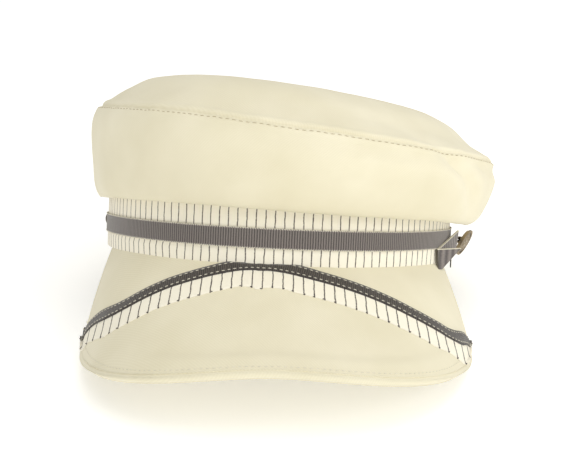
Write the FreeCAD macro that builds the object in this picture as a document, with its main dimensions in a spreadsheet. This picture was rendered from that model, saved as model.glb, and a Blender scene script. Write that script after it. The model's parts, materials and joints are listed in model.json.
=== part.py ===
import FreeCAD, Part
import Sketcher
import math
import os

from FreeCAD import Placement, Rotation, Vector

# Soft peaked cap with a pinstriped band, a ribbon, a brass side button and a striped peak.
# The cap is drawn square to the plane of its band: the origin is the middle of the band's
# lower edge, -Y is the front, +X the wearer's left and +Z up. At the end every piece is
# tilted as one, so that the cap stands on the back of its band and the peak's two corners.

SIZES = {
    # band: three layers round the head, and the room that the rivet's washer needs
    "band_half_width": 90.0,
    "band_half_length": 99.0,
    "band_height": 30.0,
    "cloth_wall": 0.8,
    "stiffener_wall": 1.2,
    "sweat_wall": 0.6,
    "sweat_height": 27.0,
    "ply_gap": 0.2,
    "washer_room": 0.9,
    # ribbon on the front half of the band
    "ribbon_wall": 0.6,
    "ribbon_low": 7.4,
    "ribbon_width": 8.7,
    "ribbon_end": 7.0,
    "tail_angle": 80.0,
    "tail_low": -4.4,
    "tail_width": 5.0,
    "tail_drop": 12.0,
    # rivet at the ribbon's far end
    "stud_radius": 4.0,
    "stud_dome": 2.2,
    "stud_rim": 0.6,
    "stud_height": 12.0,
    "post_radius": 0.9,
    "post_fit": 0.15,
    "washer_radius": 3.0,
    "washer_wall": 0.5,
    # brass shank button on a thread loop
    "button_radius": 7.5,
    "button_rim": 0.9,
    "button_rim_depth": 1.0,
    "button_bead": 0.45,
    "button_dome": 0.9,
    "button_back_radius": 6.6,
    "button_back_wall": 0.8,
    "shank_ring": 1.9,
    "shank_wire": 0.55,
    "shank_reach": 1.2,
    "thread_ring": 1.6,
    "thread_wire": 0.6,
    "thread_stalk": 1.1,
    "hinge_gap": 0.4,
    "body_gap": 0.3,
    "eye_out": 7.6,
    "eye_back": 1.5,
    "eye_height": 8.9,
    "button_droop": 25.3,
    "button_turn": 25.5,
    # peak: a curved sheet that leaves the band's lower edge and falls to its rim
    "peak_slope": 29.3,
    "peak_side_droop": 9.85,
    "peak_sheet": 100.0,
    "peak_sheet_half_width": 93.0,
    "peak_sheet_angle": 76.5,
    "peak_half_width": 90.2,
    "peak_widest": 66.8,
    "peak_front": 157.9,
    "peak_squareness": 3.09,
    "peak_bluntness": 1.57,
    "peak_root_angle": 64.7,
    "peak_root_gap": 0.2,
    "board_wall": 1.6,
    "under_wall": 0.6,
    "edge_wall": 1.6,
    "tape_wall": 0.6,
    "tape_width": 7.0,
    "panel_width": 16.0,
    # crown and lining
    "lining_wall": 0.4,
    "lining_gap": 0.3,
    # rest on a flat surface
    "rest_tilt": 13.855,
    "rest_roll": 2.65,
}

# Crown sections, from the band seam over the lip and the bulge to the tip: reach beyond the
# band at the sides, reach at front and back, height, shift to +X, fall to +X, rise to the front.
SECTION_SIZES = ("side_reach", "end_reach", "height", "shift", "side_fall", "front_rise")
SIDE_SECTIONS = {
    "foot": (-1.6, -1.6, 30.3, 0.0, 0.0, 0.0),
    "turn": (1.4, 1.4, 29.4, 0.0, 0.2, 0.3),
    "fold": (3.4, 3.2, 22.0, 0.6, 2.2, 2.9),
    "lip": (7.0, 6.6, 18.6, 2.4, 2.4, 2.9),
    "cheek": (12.6, 10.4, 26.0, 4.0, 2.6, 2.0),
    "bulge": (19.5, 14.0, 48.0, 6.0, 2.6, 0.0),
    "haunch": (18.9, 12.4, 57.0, 7.8, 3.8, -0.5),
    "seam": (15.5, 9.0, 64.0, 9.5, 4.9, -1.0),
}
TIP_SECTIONS = {
    "seam": SIDE_SECTIONS["seam"],
    "shoulder": (11.1, 4.8, 67.6, 9.0, 5.9, -0.8),
    "slope": (2.8, -3.4, 72.6, 8.8, 6.6, -0.5),
    "brow": (-9.0, -15.0, 78.6, 8.8, 6.4, 0.0),
    "dish": (-26.5, -32.0, 84.3, 8.5, 6.0, 0.0),
    "crest": (-52.5, -58.0, 87.4, 7.5, 6.0, 0.0),
}
TIP_POLE = (7.0, 88.3)
LINING_SECTIONS = {
    "lining_foot": (-2.0, -2.0, 32.2, 0.2, 0.3, 0.0),
    "lining_low": (8.0, 5.0, 37.0, 2.6, 1.0, 0.0),
}

# Plan of the tape's middle line across the peak.
TAPE_LINE = ((-94, -72), (-78, -93.5), (-58, -102), (-20, -99), (20, -103), (56, -106.5), (78, -99), (94, -75))

# Outline of the folded ribbon end, seen from outside: distance along the fold, height.
FRONT_FLAP = ((0.0, 7.2), (22.0, 7.0), (5.0, -2.6), (1.6, -2.4))
BACK_FLAP = ((1.0, 7.2), (33.0, 15.2), (30.0, 6.0), (1.6, 1.0))


def fill_sheet(doc):
    """Writes every driving size into the spreadsheet, under its own name."""
    sheet = doc.addObject("Spreadsheet::Sheet", "sizes")
    rows = dict(SIZES)
    for name, values in {**SIDE_SECTIONS, **TIP_SECTIONS, **LINING_SECTIONS}.items():
        for column, value in zip(SECTION_SIZES, values):
            rows[f"{name}_{column}"] = value
    rows["pole_shift"], rows["pole_height"] = TIP_POLE
    rows.update({
        "cloth_in_x": "=band_half_width - cloth_wall",
        "cloth_in_y": "=band_half_length - cloth_wall",
        "stiff_out_x": "=cloth_in_x - ply_gap",
        "stiff_out_y": "=cloth_in_y - ply_gap",
        "stiff_in_x": "=stiff_out_x - stiffener_wall",
        "stiff_in_y": "=stiff_out_y - stiffener_wall",
        "sweat_out_x": "=stiff_in_x - washer_room",
        "sweat_out_y": "=stiff_in_y - washer_room",
        "sweat_in_x": "=sweat_out_x - sweat_wall",
        "sweat_in_y": "=sweat_out_y - sweat_wall",
        "ribbon_in_x": "=band_half_width + ply_gap",
        "ribbon_in_y": "=band_half_length + ply_gap",
        "ribbon_out_x": "=ribbon_in_x + ribbon_wall",
        "ribbon_out_y": "=ribbon_in_y + ribbon_wall",
        "ribbon_high": "=ribbon_low + ribbon_width",
        "post_hole": "=post_radius + post_fit",
        "stud_top": "=stud_rim + stud_dome",
        "post_length": "=ribbon_out_x - stiff_in_x + 2 * post_fit + washer_wall",
        "face_base": "=button_back_wall + post_fit",
        "face_top": "=face_base + button_rim_depth",
        "face_inner": "=button_radius - button_rim",
        "face_floor": "=face_top - button_bead",
        "face_crown": "=face_floor + button_dome",
    })
    for row, (name, value) in enumerate(rows.items(), 1):
        sheet.set(f"A{row}", name)
        sheet.set(f"B{row}", str(value))
        sheet.setAlias(f"B{row}", name)
    doc.recompute()
    return sheet


def size(name):
    """A size from the sheet, as a number."""
    return float(getattr(SHEET, name))


def new_body(label):
    body = DOC.addObject("PartDesign::Body", label)
    body.Label = label
    return body


def new_sketch(body, name, role):
    """A sketch on one of the body's own origin planes."""
    sketch = body.newObject("Sketcher::SketchObject", f"{body.Label}_{name}")
    plane = next(item for item in body.Origin.OriginFeatures if item.Role == role)
    sketch.AttachmentSupport = [(plane, "")]
    sketch.MapMode = "FlatFace"
    return sketch


def dimension(sketch, kind, args, expression):
    """A driving dimension bound to the sheet."""
    index = sketch.addConstraint(Sketcher.Constraint(kind, *args))
    name = f"size_{index}"
    sketch.renameConstraint(index, name)
    sketch.setExpression(f"Constraints.{name}", expression)


def draw_oval(sketch, half_x, half_y):
    """An ellipse about the origin, longer along Y."""
    long_half, short_half = size(half_y), size(half_x)
    oval = sketch.addGeometry(Part.Ellipse(Vector(0, long_half, 0), Vector(short_half, 0, 0), Vector()), False)
    major = sketch.GeometryCount
    sketch.exposeInternalGeometry(oval)
    sketch.addConstraint(Sketcher.Constraint("Coincident", oval, 3, -1, 1))
    sketch.addConstraint(Sketcher.Constraint("Vertical", major))
    dimension(sketch, "Distance", (major, 2 * long_half), f"2 * sizes.{half_y}")
    dimension(sketch, "Distance", (major + 1, 2 * short_half), f"2 * sizes.{half_x}")


def signed(token):
    """The value of "name", "-name" or "0"."""
    if token == "0":
        return 0.0
    return -size(token[1:]) if token.startswith("-") else size(token)


def draw_outline(sketch, corners):
    """A closed outline: each corner is two names from the sheet, which its two dimensions read."""
    points = [Vector(signed(across), signed(up), 0) for across, up in corners]
    count = len(points)
    for index in range(count):
        sketch.addGeometry(Part.LineSegment(points[index], points[(index + 1) % count]), False)
    for index, corner in enumerate(corners):
        sketch.addConstraint(Sketcher.Constraint("Coincident", index - 1 if index else count - 1, 2, index, 1))
        for kind, token, value in zip(("DistanceX", "DistanceY"), corner, (points[index].x, points[index].y)):
            if token == "0":
                axis_line = -2 if kind == "DistanceX" else -1
                sketch.addConstraint(Sketcher.Constraint("PointOnObject", index, 1, axis_line))
                continue
            expression = token.replace("-", "-sizes.") if token.startswith("-") else f"sizes.{token}"
            dimension(sketch, kind, (-1, 1, index, 1, value), expression)


def pad(body, sketch, expression, name="pad"):
    feature = body.newObject("PartDesign::Pad", f"{body.Label}_{name}")
    feature.Profile = sketch
    feature.setExpression("Length", expression)
    DOC.recompute()
    return feature


def pocket(body, sketch, length, backwards, name):
    """A cut that must take material away."""
    before = body.Shape.Volume
    feature = body.newObject("PartDesign::Pocket", f"{body.Label}_{name}")
    feature.Profile = sketch
    feature.setExpression("Length", length)
    feature.Reversed = backwards
    DOC.recompute()
    if not body.Shape.Volume < before - 1e-6:
        raise RuntimeError(f"{feature.Name} cuts nothing")
    return feature


def revolve(body, sketch):
    """A full turn of the sketch about the body's own Z."""
    feature = body.newObject("PartDesign::Revolution", f"{body.Label}_turn")
    feature.Profile = sketch
    feature.ReferenceAxis = (sketch, ["V_Axis"])
    feature.Angle = 360
    DOC.recompute()
    return feature


def feature_node(label, shape):
    node = DOC.addObject("Part::Feature", label)
    node.Label = label
    node.Shape = shape
    return node


# ---- band ----

def post_hole(body):
    """The rivet's hole through the band's -X side."""
    sketch = new_sketch(body, "hole", "YZ_Plane")
    circle = sketch.addGeometry(Part.Circle(Vector(0, size("stud_height"), 0), Vector(0, 0, 1), size("post_hole")), False)
    sketch.addConstraint(Sketcher.Constraint("PointOnObject", circle, 3, -2))
    dimension(sketch, "DistanceY", (-1, 1, circle, 3, size("stud_height")), "sizes.stud_height")
    dimension(sketch, "Radius", (circle, size("post_hole")), "sizes.post_hole")
    pocket(body, sketch, "sizes.ribbon_out_x + 1", False, "hole")


def ring_layer(label, outer, inner, height, with_hole=True):
    """One layer of the band: an upright oval ring standing on the band's plane."""
    body = new_body(label)
    sketch = new_sketch(body, "ovals", "XY_Plane")
    draw_oval(sketch, *outer)
    draw_oval(sketch, *inner)
    pad(body, sketch, f"sizes.{height}")
    if with_hole:
        post_hole(body)
    return body


def hat_ribbon():
    """Ribbon round the front of the band, from the rivet to just past the button."""
    body = new_body("hat_ribbon")
    sketch = new_sketch(body, "ovals", "XY_Plane")
    sketch.setExpression("AttachmentOffset.Base.z", "sizes.ribbon_low")
    draw_oval(sketch, "ribbon_out_x", "ribbon_out_y")
    draw_oval(sketch, "ribbon_in_x", "ribbon_in_y")
    pad(body, sketch, "sizes.ribbon_width")
    back = new_sketch(body, "back", "XY_Plane")
    draw_rectangle(back, "ribbon_out_x", "ribbon_end", "ribbon_out_y")
    pocket(body, back, "sizes.ribbon_high + 1", True, "back")
    post_hole(body)
    return body


def draw_rectangle(sketch, half_x, near_y, far_y):
    """A rectangle either side of Y, from one distance behind the origin to another."""
    draw_outline(sketch, (("-" + half_x, near_y), (half_x, near_y), (half_x, far_y), ("-" + half_x, far_y)))


# ---- rivet ----

def turned(label, corners):
    """A turned piece from its half profile: radius, height."""
    body = new_body(label)
    sketch = new_sketch(body, "profile", "XZ_Plane")
    draw_outline(sketch, corners)
    revolve(body, sketch)
    return body


def domed(label, corners, dome_radius_of):
    """A turned piece whose last side is an arc that meets the axis square."""
    body = new_body(label)
    sketch = new_sketch(body, "profile", "XZ_Plane")
    points = [Vector(signed(across), signed(up), 0) for across, up in corners]
    rim, top = points[-1], Vector(0, signed(dome_radius_of), 0)
    rise = top.y - rim.y
    radius = (rim.x ** 2 + rise ** 2) / (2 * rise)
    centre = Vector(0, top.y - radius, 0)
    start = math.atan2(rim.y - centre.y, rim.x)
    sides = list(zip(points, points[1:]))
    for first, second in sides:
        sketch.addGeometry(Part.LineSegment(first, second), False)
    arc = sketch.addGeometry(Part.ArcOfCircle(Part.Circle(centre, Vector(0, 0, 1), radius), start, math.pi / 2), False)
    axis = sketch.addGeometry(Part.LineSegment(top, points[0]), False)
    for index in range(1, len(sides)):
        sketch.addConstraint(Sketcher.Constraint("Coincident", index - 1, 2, index, 1))
    sketch.addConstraint(Sketcher.Constraint("Coincident", len(sides) - 1, 2, arc, 1))
    sketch.addConstraint(Sketcher.Constraint("Coincident", arc, 2, axis, 1))
    sketch.addConstraint(Sketcher.Constraint("Coincident", axis, 2, 0, 1))
    sketch.addConstraint(Sketcher.Constraint("PointOnObject", arc, 3, -2))
    ends = [(index, 1) for index in range(len(sides))] + [(arc, 1), (axis, 1)]
    for (geometry, end), (across, up) in zip(ends, list(corners) + [("0", dome_radius_of)]):
        point = Vector(signed(across), signed(up), 0)
        for kind, token, value in zip(("DistanceX", "DistanceY"), (across, up), (point.x, point.y)):
            if token == "0":
                line = -2 if kind == "DistanceX" else -1
                sketch.addConstraint(Sketcher.Constraint("PointOnObject", geometry, end, line))
                continue
            dimension(sketch, kind, (-1, 1, geometry, end, value), f"sizes.{token}")
    revolve(body, sketch)
    return body


def rivet():
    """Dark domed rivet at the ribbon's end: cap outside, post through the layers, washer inside."""
    cap = domed("stud_cap", (("0", "0"), ("stud_radius", "0"), ("stud_radius", "stud_rim")), "stud_top")
    cap.Placement = towards_left("ribbon_out_x", size("post_fit"))
    post = new_body("stud_post")
    sketch = new_sketch(post, "round", "XY_Plane")
    draw_circle(sketch, "post_radius")
    pad(post, sketch, "sizes.post_length")
    post.Placement = towards_left("stiff_in_x", -size("washer_wall") - size("post_fit"))
    washer = new_body("stud_washer")
    sketch = new_sketch(washer, "rings", "XY_Plane")
    draw_circle(sketch, "washer_radius")
    draw_circle(sketch, "post_hole")
    pad(washer, sketch, "sizes.washer_wall")
    washer.Placement = towards_left("stiff_in_x", -size("washer_wall") - size("post_fit"))


def draw_circle(sketch, radius):
    circle = sketch.addGeometry(Part.Circle(Vector(), Vector(0, 0, 1), size(radius)), False)
    sketch.addConstraint(Sketcher.Constraint("Coincident", circle, 3, -1, 1))
    dimension(sketch, "Radius", (circle, size(radius)), f"sizes.{radius}")


def towards_left(name, outwards):
    """A frame on the band's -X side whose Z points out of the cap."""
    return Placement(Vector(-size(name) - outwards, 0, size("stud_height")), Rotation(Vector(0, 1, 0), -90))


# ---- button ----

def button_axes():
    """The thread eye, the way the button faces and the axis it swings about."""
    eye = Vector(size("band_half_width") + size("eye_out"), size("eye_back"), size("eye_height"))
    droop, turn = math.radians(size("button_droop")), math.radians(size("button_turn"))
    facing = Vector(math.cos(droop) * math.cos(turn), -math.cos(droop) * math.sin(turn), -math.sin(droop))
    swing = Vector(1, 0, 0).cross(facing).normalize()
    return eye, facing, swing


def button():
    """Two-shell brass button with a wire shank that hangs in a loop of thread."""
    eye, facing, swing = button_axes()
    turn = Rotation(swing, Vector(), facing, "ZXY")
    ring_centre = eye + facing * (size("shank_ring") - size("shank_wire") - size("thread_wire") - size("hinge_gap"))
    seat = Placement(ring_centre + facing * size("shank_reach"), turn)
    back = turned("button_back", (("0", "0"), ("button_back_radius", "0"),
                                  ("face_inner", "button_back_wall"), ("0", "button_back_wall")))
    back.Placement = seat
    corners = (("0", "face_base"), ("button_radius", "face_base"), ("button_radius", "face_top"),
               ("face_inner", "face_top"), ("face_inner", "face_floor"))
    face = domed("button_face", corners, "face_crown")
    face.Placement = seat
    ring = Part.makeTorus(size("shank_ring"), size("shank_wire"), Vector(), Vector(1, 0, 0))
    reach = 2 * (size("shank_ring") + size("shank_wire"))
    above = Part.makeBox(reach, reach, reach, Vector(-reach / 2, -reach / 2, size("shank_reach") - size("post_fit")))
    shank = feature_node("button_shank", ring.cut(above))
    shank.Placement = Placement(ring_centre, turn)


def button_thread():
    """Whipped thread stalk that ends in a loop through the button's shank."""
    eye, facing, swing = button_axes()
    across = Vector(1, 0, 0).cross(swing)
    centre = eye - Vector(size("thread_ring"), 0, 0)
    loop = Part.makeTorus(size("thread_ring"), size("thread_wire"), centre, across)
    start = size("ribbon_out_x") + size("body_gap")
    stop = centre.x - size("thread_ring")
    stalk = Part.makeCylinder(size("thread_stalk"), stop - start, Vector(start, eye.y, eye.z), Vector(1, 0, 0))
    feature_node("button_thread", stalk.fuse(loop))


# ---- ribbon end ----

def ribbon_end():
    """The ribbon's folded end in front of the button, and the short tail under it."""
    wall = size("ribbon_wall")
    root_angle = math.radians(57)
    out_x, out_y = size("ribbon_out_x"), size("ribbon_out_y")
    corner = Vector(out_x * math.sin(root_angle), -out_y * math.cos(root_angle), 0)
    corner = corner + Vector(math.sin(root_angle), -math.cos(root_angle), 0) * size("body_gap")
    flaps = []
    for outline, heading in ((FRONT_FLAP, 50), (BACK_FLAP, 63)):
        along = Vector(math.cos(math.radians(heading)), math.sin(math.radians(heading)), 0)
        out = Vector(along.y, -along.x, 0)
        points = [corner + along * run + Vector(0, 0, rise) for run, rise in outline]
        face = Part.Face(Part.makePolygon(points + points[:1]))
        flaps.append(face.extrude(out * wall))
    feature_node("ribbon_loop", flaps[0].fuse(flaps[1]).removeSplitter())
    tail_angle = math.radians(size("tail_angle"))
    across = Vector(out_y * math.sin(tail_angle), -out_x * math.cos(tail_angle), 0).normalize()
    foot = Vector(out_x * math.sin(tail_angle), -out_y * math.cos(tail_angle), size("tail_low")) + across * size("body_gap")
    tail = Part.makeBox(wall, size("tail_width"), size("tail_drop"), Vector(0, -size("tail_width") / 2, 0))
    tail.Placement = Placement(foot, Rotation(Vector(1, 0, 0), across))
    feature_node("ribbon_tail", tail)


# ---- peak ----

def level(shape):
    """Turns a shape from the peak's frame, which lies level from side to side, to the band's."""
    turned_shape = shape.copy()
    turned_shape.rotate(Vector(), Vector(0, 1, 0), -size("rest_roll"))
    return turned_shape


def peak_surface():
    """The peak's upper surface: straight lines from the band's lower edge to a drooping far curve."""
    reach = math.radians(size("peak_sheet_angle"))
    steps = 16
    root, far = [], []
    for step in range(steps + 1):
        angle = reach * (2 * step / steps - 1)
        side, front = math.sin(angle), math.cos(angle)
        root.append(Vector(size("band_half_width") * side, -size("band_half_length") * front, -size("peak_root_gap")))
        fall = math.radians(size("peak_slope") + size("peak_side_droop") * side ** 4)
        run = size("peak_sheet")
        point = Vector(size("peak_sheet_half_width") * side,
                       -size("band_half_length") * front - run * math.cos(fall), -run * math.sin(fall))
        far.append(Rotation(Vector(0, 1, 0), -size("rest_roll")).multVec(point))
    edges = []
    for points in (root, far):
        curve = Part.BSplineCurve()
        curve.interpolate(points)
        edges.append(curve.toShape())
    return Part.makeRuledSurface(edges[0], edges[1])


def peak_layer(surface, depth, wall):
    """A piece of the upper surface as a sheet of even thickness, a given depth below it."""
    top = surface if depth == 0 else surface.makeOffsetShape(depth, 1e-4)
    sheet = Part.Solid(top.makeOffsetShape(wall, 1e-4, fill=True).Shells[0])
    if sheet.Volume < 0:
        sheet.reverse()
    return sheet


def peak_outline(inset):
    """The peak's plan: short straight sides and a blunt, squared front."""
    half, widest, front = size("peak_half_width") - inset, size("peak_widest"), size("peak_front") - inset
    angle = math.radians(size("peak_root_angle"))
    root = Vector(size("band_half_width") * math.sin(angle) - inset, -size("band_half_length") * math.cos(angle), 0)
    points = []
    steps = 32
    for step in range(steps + 1):
        turn = math.pi * (step / steps - 0.5)
        across = math.copysign(abs(math.sin(turn)) ** (2 / size("peak_squareness")), turn)
        ahead = max(math.cos(turn), 0.0) ** (2 / size("peak_bluntness"))
        points.append(Vector(half * across, -(widest + (front - widest) * ahead), 0))
    curve = Part.BSplineCurve()
    curve.interpolate(points, InitialTangent=Vector(0, -1, 0), FinalTangent=Vector(0, 1, 0), Scale=True)
    left, right = Vector(-root.x, root.y, 0), root
    sides = [Part.makeLine(points[-1], right), Part.makeLine(right, left), Part.makeLine(left, points[0])]
    return Part.Wire([curve.toShape()] + sides)


def upright(wire):
    """The solid that a plan outline sweeps straight up and down in the peak's frame."""
    deep = size("peak_front")
    face = Part.Face(wire)
    face.translate(Vector(0, 0, -deep))
    return level(face.extrude(Vector(0, 0, 2 * deep)))


def strip_region(near, far):
    """The plan between two copies of the tape's line, moved forward by two distances."""
    lines = []
    for forward in (near, far):
        curve = Part.BSplineCurve()
        curve.interpolate([Vector(x, y - forward, 0) for x, y in TAPE_LINE])
        lines.append(curve)
    first, second = (curve.toShape() for curve in lines)
    ends = [Part.makeLine(lines[0].StartPoint, lines[1].StartPoint), Part.makeLine(lines[0].EndPoint, lines[1].EndPoint)]
    return upright(Part.Wire(Part.__sortEdges__([first, ends[1], second, ends[0]])))


def peak():
    """Board, covers, striped panel, tape, lining and bound edge of the peak."""
    sheet = peak_surface()
    gap, cloth, board = size("ply_gap"), size("cloth_wall"), size("board_wall")
    whole = sheet.common(upright(peak_outline(0)))
    inside = sheet.common(upright(peak_outline(size("edge_wall") + gap)))
    rim = whole.cut(upright(peak_outline(size("edge_wall"))))
    under_depth = cloth + board + 2 * gap
    half_tape = size("tape_width") / 2
    far = size("peak_front") * 2
    nodes = {
        "peak_board": (inside, cloth + gap, board),
        "peak_rear_cover": (inside.common(strip_region(-far, -gap / 2)), 0, cloth),
        "peak_stripe_panel": (inside.common(strip_region(gap / 2, size("panel_width"))), 0, cloth),
        "peak_front_cover": (inside.common(strip_region(size("panel_width") + gap, far)), 0, cloth),
        "peak_underside": (inside, under_depth, size("under_wall")),
        "peak_edge_binding": (rim, 0, under_depth + size("under_wall")),
        "peak_tape": (whole.common(strip_region(-half_tape, half_tape)), -gap - size("tape_wall"), size("tape_wall")),
    }
    for label, (face, depth, wall) in nodes.items():
        feature_node(label, peak_layer(face, depth, wall))


# ---- crown ----

def section_values(names):
    """The sections' sizes, one dictionary each, from the bottom up."""
    return [{column: size(f"{name}_{column}") for column in SECTION_SIZES} for name in names]


def moved_in(sections, depth):
    """The same sections moved square to the profile, towards the inside of the crown."""
    result = []
    last = len(sections) - 1
    for index, section in enumerate(sections):
        before, after = sections[max(index - 1, 0)], sections[min(index + 1, last)]
        out = after["side_reach"] - before["side_reach"]
        rise = after["height"] - before["height"]
        length = math.hypot(out, rise)
        inner = dict(section)
        inner["side_reach"] -= depth * rise / length
        inner["end_reach"] -= depth * rise / length
        inner["height"] += depth * out / length
        result.append(inner)
    return result


def section_wire(section):
    """One oval section of the crown."""
    half_x = size("band_half_width") + section["side_reach"]
    half_y = size("band_half_length") + section["end_reach"]
    across, along = Vector(half_x, 0, 0), Vector(0, half_y, 0)
    first, second = (along, across) if half_y > half_x else (across, along)
    wire = Part.Wire([Part.Ellipse(first, second, Vector()).toShape()])
    lean = Rotation(Vector(0, 1, 0), section["side_fall"]) * Rotation(Vector(1, 0, 0), -section["front_rise"])
    wire.Placement = Placement(Vector(section["shift"], 0, section["height"]), lean)
    return wire


def blend_section(sections, place):
    """The section at a place along the profile, on a smooth curve through every section's sizes."""
    last = len(sections) - 1
    index = min(int(place), last - 1)
    share = place - index
    ends = [sections[row] for row in (max(index - 1, 0), index, index + 1, min(index + 2, last))]
    step_in, step, step_out = (max(profile_step(first, second), 1e-6) ** 0.5 for first, second in zip(ends, ends[1:]))
    result = {}
    for column in SECTION_SIZES:
        before, start, stop, after = (end[column] for end in ends)
        low = high = stop - start
        if index:
            low = slope_at(before, start, stop, step_in, step) * step
        if index < last - 1:
            high = slope_at(start, stop, after, step, step_out) * step
        result[column] = hermite(start, stop, low, high, share)
    return result


def profile_step(first, second):
    return math.hypot(second["side_reach"] - first["side_reach"], second["height"] - first["height"])


def slope_at(before, here, after, step_in, step_out):
    """The slope at a section, per unit of profile, weighed by the steps on either side."""
    return (here - before) / step_in - (after - before) / (step_in + step_out) + (after - here) / step_out


def hermite(start, stop, low, high, share):
    """A cubic from start to stop with given end slopes."""
    blend = share * share * (3 - 2 * share)
    return start + (stop - start) * blend + low * share * (1 - share) ** 2 + high * share * share * (share - 1)


def half_wire(section, start):
    """Half of a section, from one side seam round to the other."""
    edge = section_wire(section).Edges[0]
    arc = Part.Edge(edge.Curve, start, start + math.pi)
    return Part.Wire([arc])


def side_half(sections, start, wall):
    """Half of the crown's side, cut out as one panel of even cloth."""
    dense = fine_sections(sections, 3)
    faces, rims, ends = [], [], []
    for depth in (0, wall):
        wires = [half_wire(section, start) for section in moved_in(dense, depth)]
        faces += Part.makeLoft(wires, False, True).Faces
        rims.append((wires[0], wires[-1]))
        edges = [wire.Edges[0] for wire in wires]
        ends.append([[edge.valueAt(parameter) for edge in edges] for parameter in edges[0].ParameterRange])
    for outer, inner in zip(*rims):
        faces += Part.makeLoft([outer, inner], False, True).Faces
    for outer, inner in zip(*ends):
        faces.append(Part.Face(Part.makePolygon(outer + inner[::-1] + outer[:1])))
    return closed_solid(faces)


def fine_sections(sections, per_span):
    """The sections with more of them blended in between."""
    count = per_span * (len(sections) - 1)
    return [blend_section(sections, row / per_span) for row in range(count + 1)]


def whole_panel(sections, wall, pole=None):
    """A panel of even cloth that goes all the way round, closed over the top if it has a pole."""
    dense = fine_sections(sections, 2)
    faces, rims = [], []
    for depth in (0, wall):
        wires = [section_wire(section) for section in moved_in(dense, depth)]
        ends = [Part.Vertex(pole - Vector(0, 0, depth))] if pole else []
        faces += Part.makeLoft(wires + ends, False, True).Faces
        rims.append((wires[0], wires[-1]))
    for outer, inner in list(zip(*rims))[:1 if pole else 2]:
        faces += Part.makeLoft([outer, inner], False, True).Faces
    return closed_solid(faces)


def closed_solid(faces):
    shell = Part.Shell(faces)
    shell.sewShape()
    solid = Part.Solid(shell)
    if solid.Volume < 0:
        solid.reverse()
    return solid


def crown():
    """Side panels that blouse over the band, the domed tip, and the lining inside both."""
    cloth, gap = size("cloth_wall"), size("lining_gap")
    side = section_values(SIDE_SECTIONS)
    tip = section_values(TIP_SECTIONS)
    pole = Vector(size("pole_shift"), 0, size("pole_height"))
    seam_lift = Vector(0, 0, size("ply_gap"))
    tip_panel = whole_panel(tip, cloth, pole).translated(seam_lift)
    lining = section_values(LINING_SECTIONS) + moved_in(side, cloth + gap)[-3:]
    lining_side = whole_panel(lining, size("lining_wall"))
    lining_pole = pole - Vector(0, 0, cloth + gap)
    lining_tip = whole_panel(moved_in(tip, cloth + gap), size("lining_wall"), lining_pole).translated(seam_lift)
    feature_node("crown_side_front", side_half(side, math.pi / 2, cloth))
    feature_node("crown_side_back", side_half(side, -math.pi / 2, cloth).translated(Vector(0, gap, 0)))
    feature_node("crown_tip", tip_panel)
    feature_node("lining_side", lining_side)
    feature_node("lining_tip", lining_tip)


# ---- assembly ----

def rest_placement(nodes):
    """Tilts the cap onto the peak's corners and the band's back, centred on the table."""
    tilt = Rotation(Vector(1, 0, 0), -size("rest_tilt")) * Rotation(Vector(0, 1, 0), size("rest_roll"))
    box = FreeCAD.BoundBox()
    for node in nodes:
        shape = node.Shape.copy()
        shape.Placement = Placement(Vector(), tilt) * shape.Placement
        box.add(shape.optimalBoundingBox(False, False))
    return Placement(Vector(-box.Center.x, -box.Center.y, -box.ZMin), tilt)


def check(doc, nodes):
    """Stops if any object failed or any piece is not a sound solid."""
    for item in doc.Objects:
        if {"Invalid", "Error"} & set(item.State):
            raise RuntimeError(f"{item.Label} failed: {item.State}")
    for node in nodes:
        shape = node.Shape
        if shape.isNull() or not shape.isValid() or not shape.Solids:
            raise RuntimeError(f"{node.Label} is not a sound solid")


def main():
    ring_layer("band_cloth", ("band_half_width", "band_half_length"), ("cloth_in_x", "cloth_in_y"), "band_height")
    ring_layer("band_stiffener", ("stiff_out_x", "stiff_out_y"), ("stiff_in_x", "stiff_in_y"), "band_height")
    ring_layer("sweatband", ("sweat_out_x", "sweat_out_y"), ("sweat_in_x", "sweat_in_y"), "sweat_height", False)
    hat_ribbon()
    rivet()
    button()
    button_thread()
    ribbon_end()
    peak()
    crown()
    DOC.recompute()
    nodes = [item for item in DOC.Objects if item.TypeId in ("PartDesign::Body", "Part::Feature")]
    rest = rest_placement(nodes)
    for node in nodes:
        node.Placement = rest * node.Placement
    DOC.recompute()
    check(DOC, nodes)
    os.makedirs("parts", exist_ok=True)
    for node in nodes:
        node.Shape.exportStep(f"parts/{node.Label}.step")
    eye, facing, swing = button_axes()
    print("thread eye", rest.multVec(eye), "swing axis", rest.Rotation.multVec(swing))
    print("twist axis", rest.Rotation.multVec(Vector(1, 0, 0)), "head opening", rest.multVec(Vector()))
    print("rest shift", rest.Base)
    for node in nodes:
        box = node.Shape.optimalBoundingBox(False, False)
        print(f"{node.Label:22} {node.Shape.Volume / 1000:8.3f} cm3  {len(node.Shape.Solids)}  {box}")


DOC = FreeCAD.newDocument("peaked_cap")
SHEET = fill_sheet(DOC)
main()
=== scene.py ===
# %% [markdown]
# A soft peaked cap stands on a table, on the back of its band and the two corners of its peak.
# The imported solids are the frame: every new piece is placed by them and rides with them.
# %% Load the frame
import json
import math
import bmesh
import bpy
from mathutils import Matrix, Vector, noise
from mathutils.bvhtree import BVHTree


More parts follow.
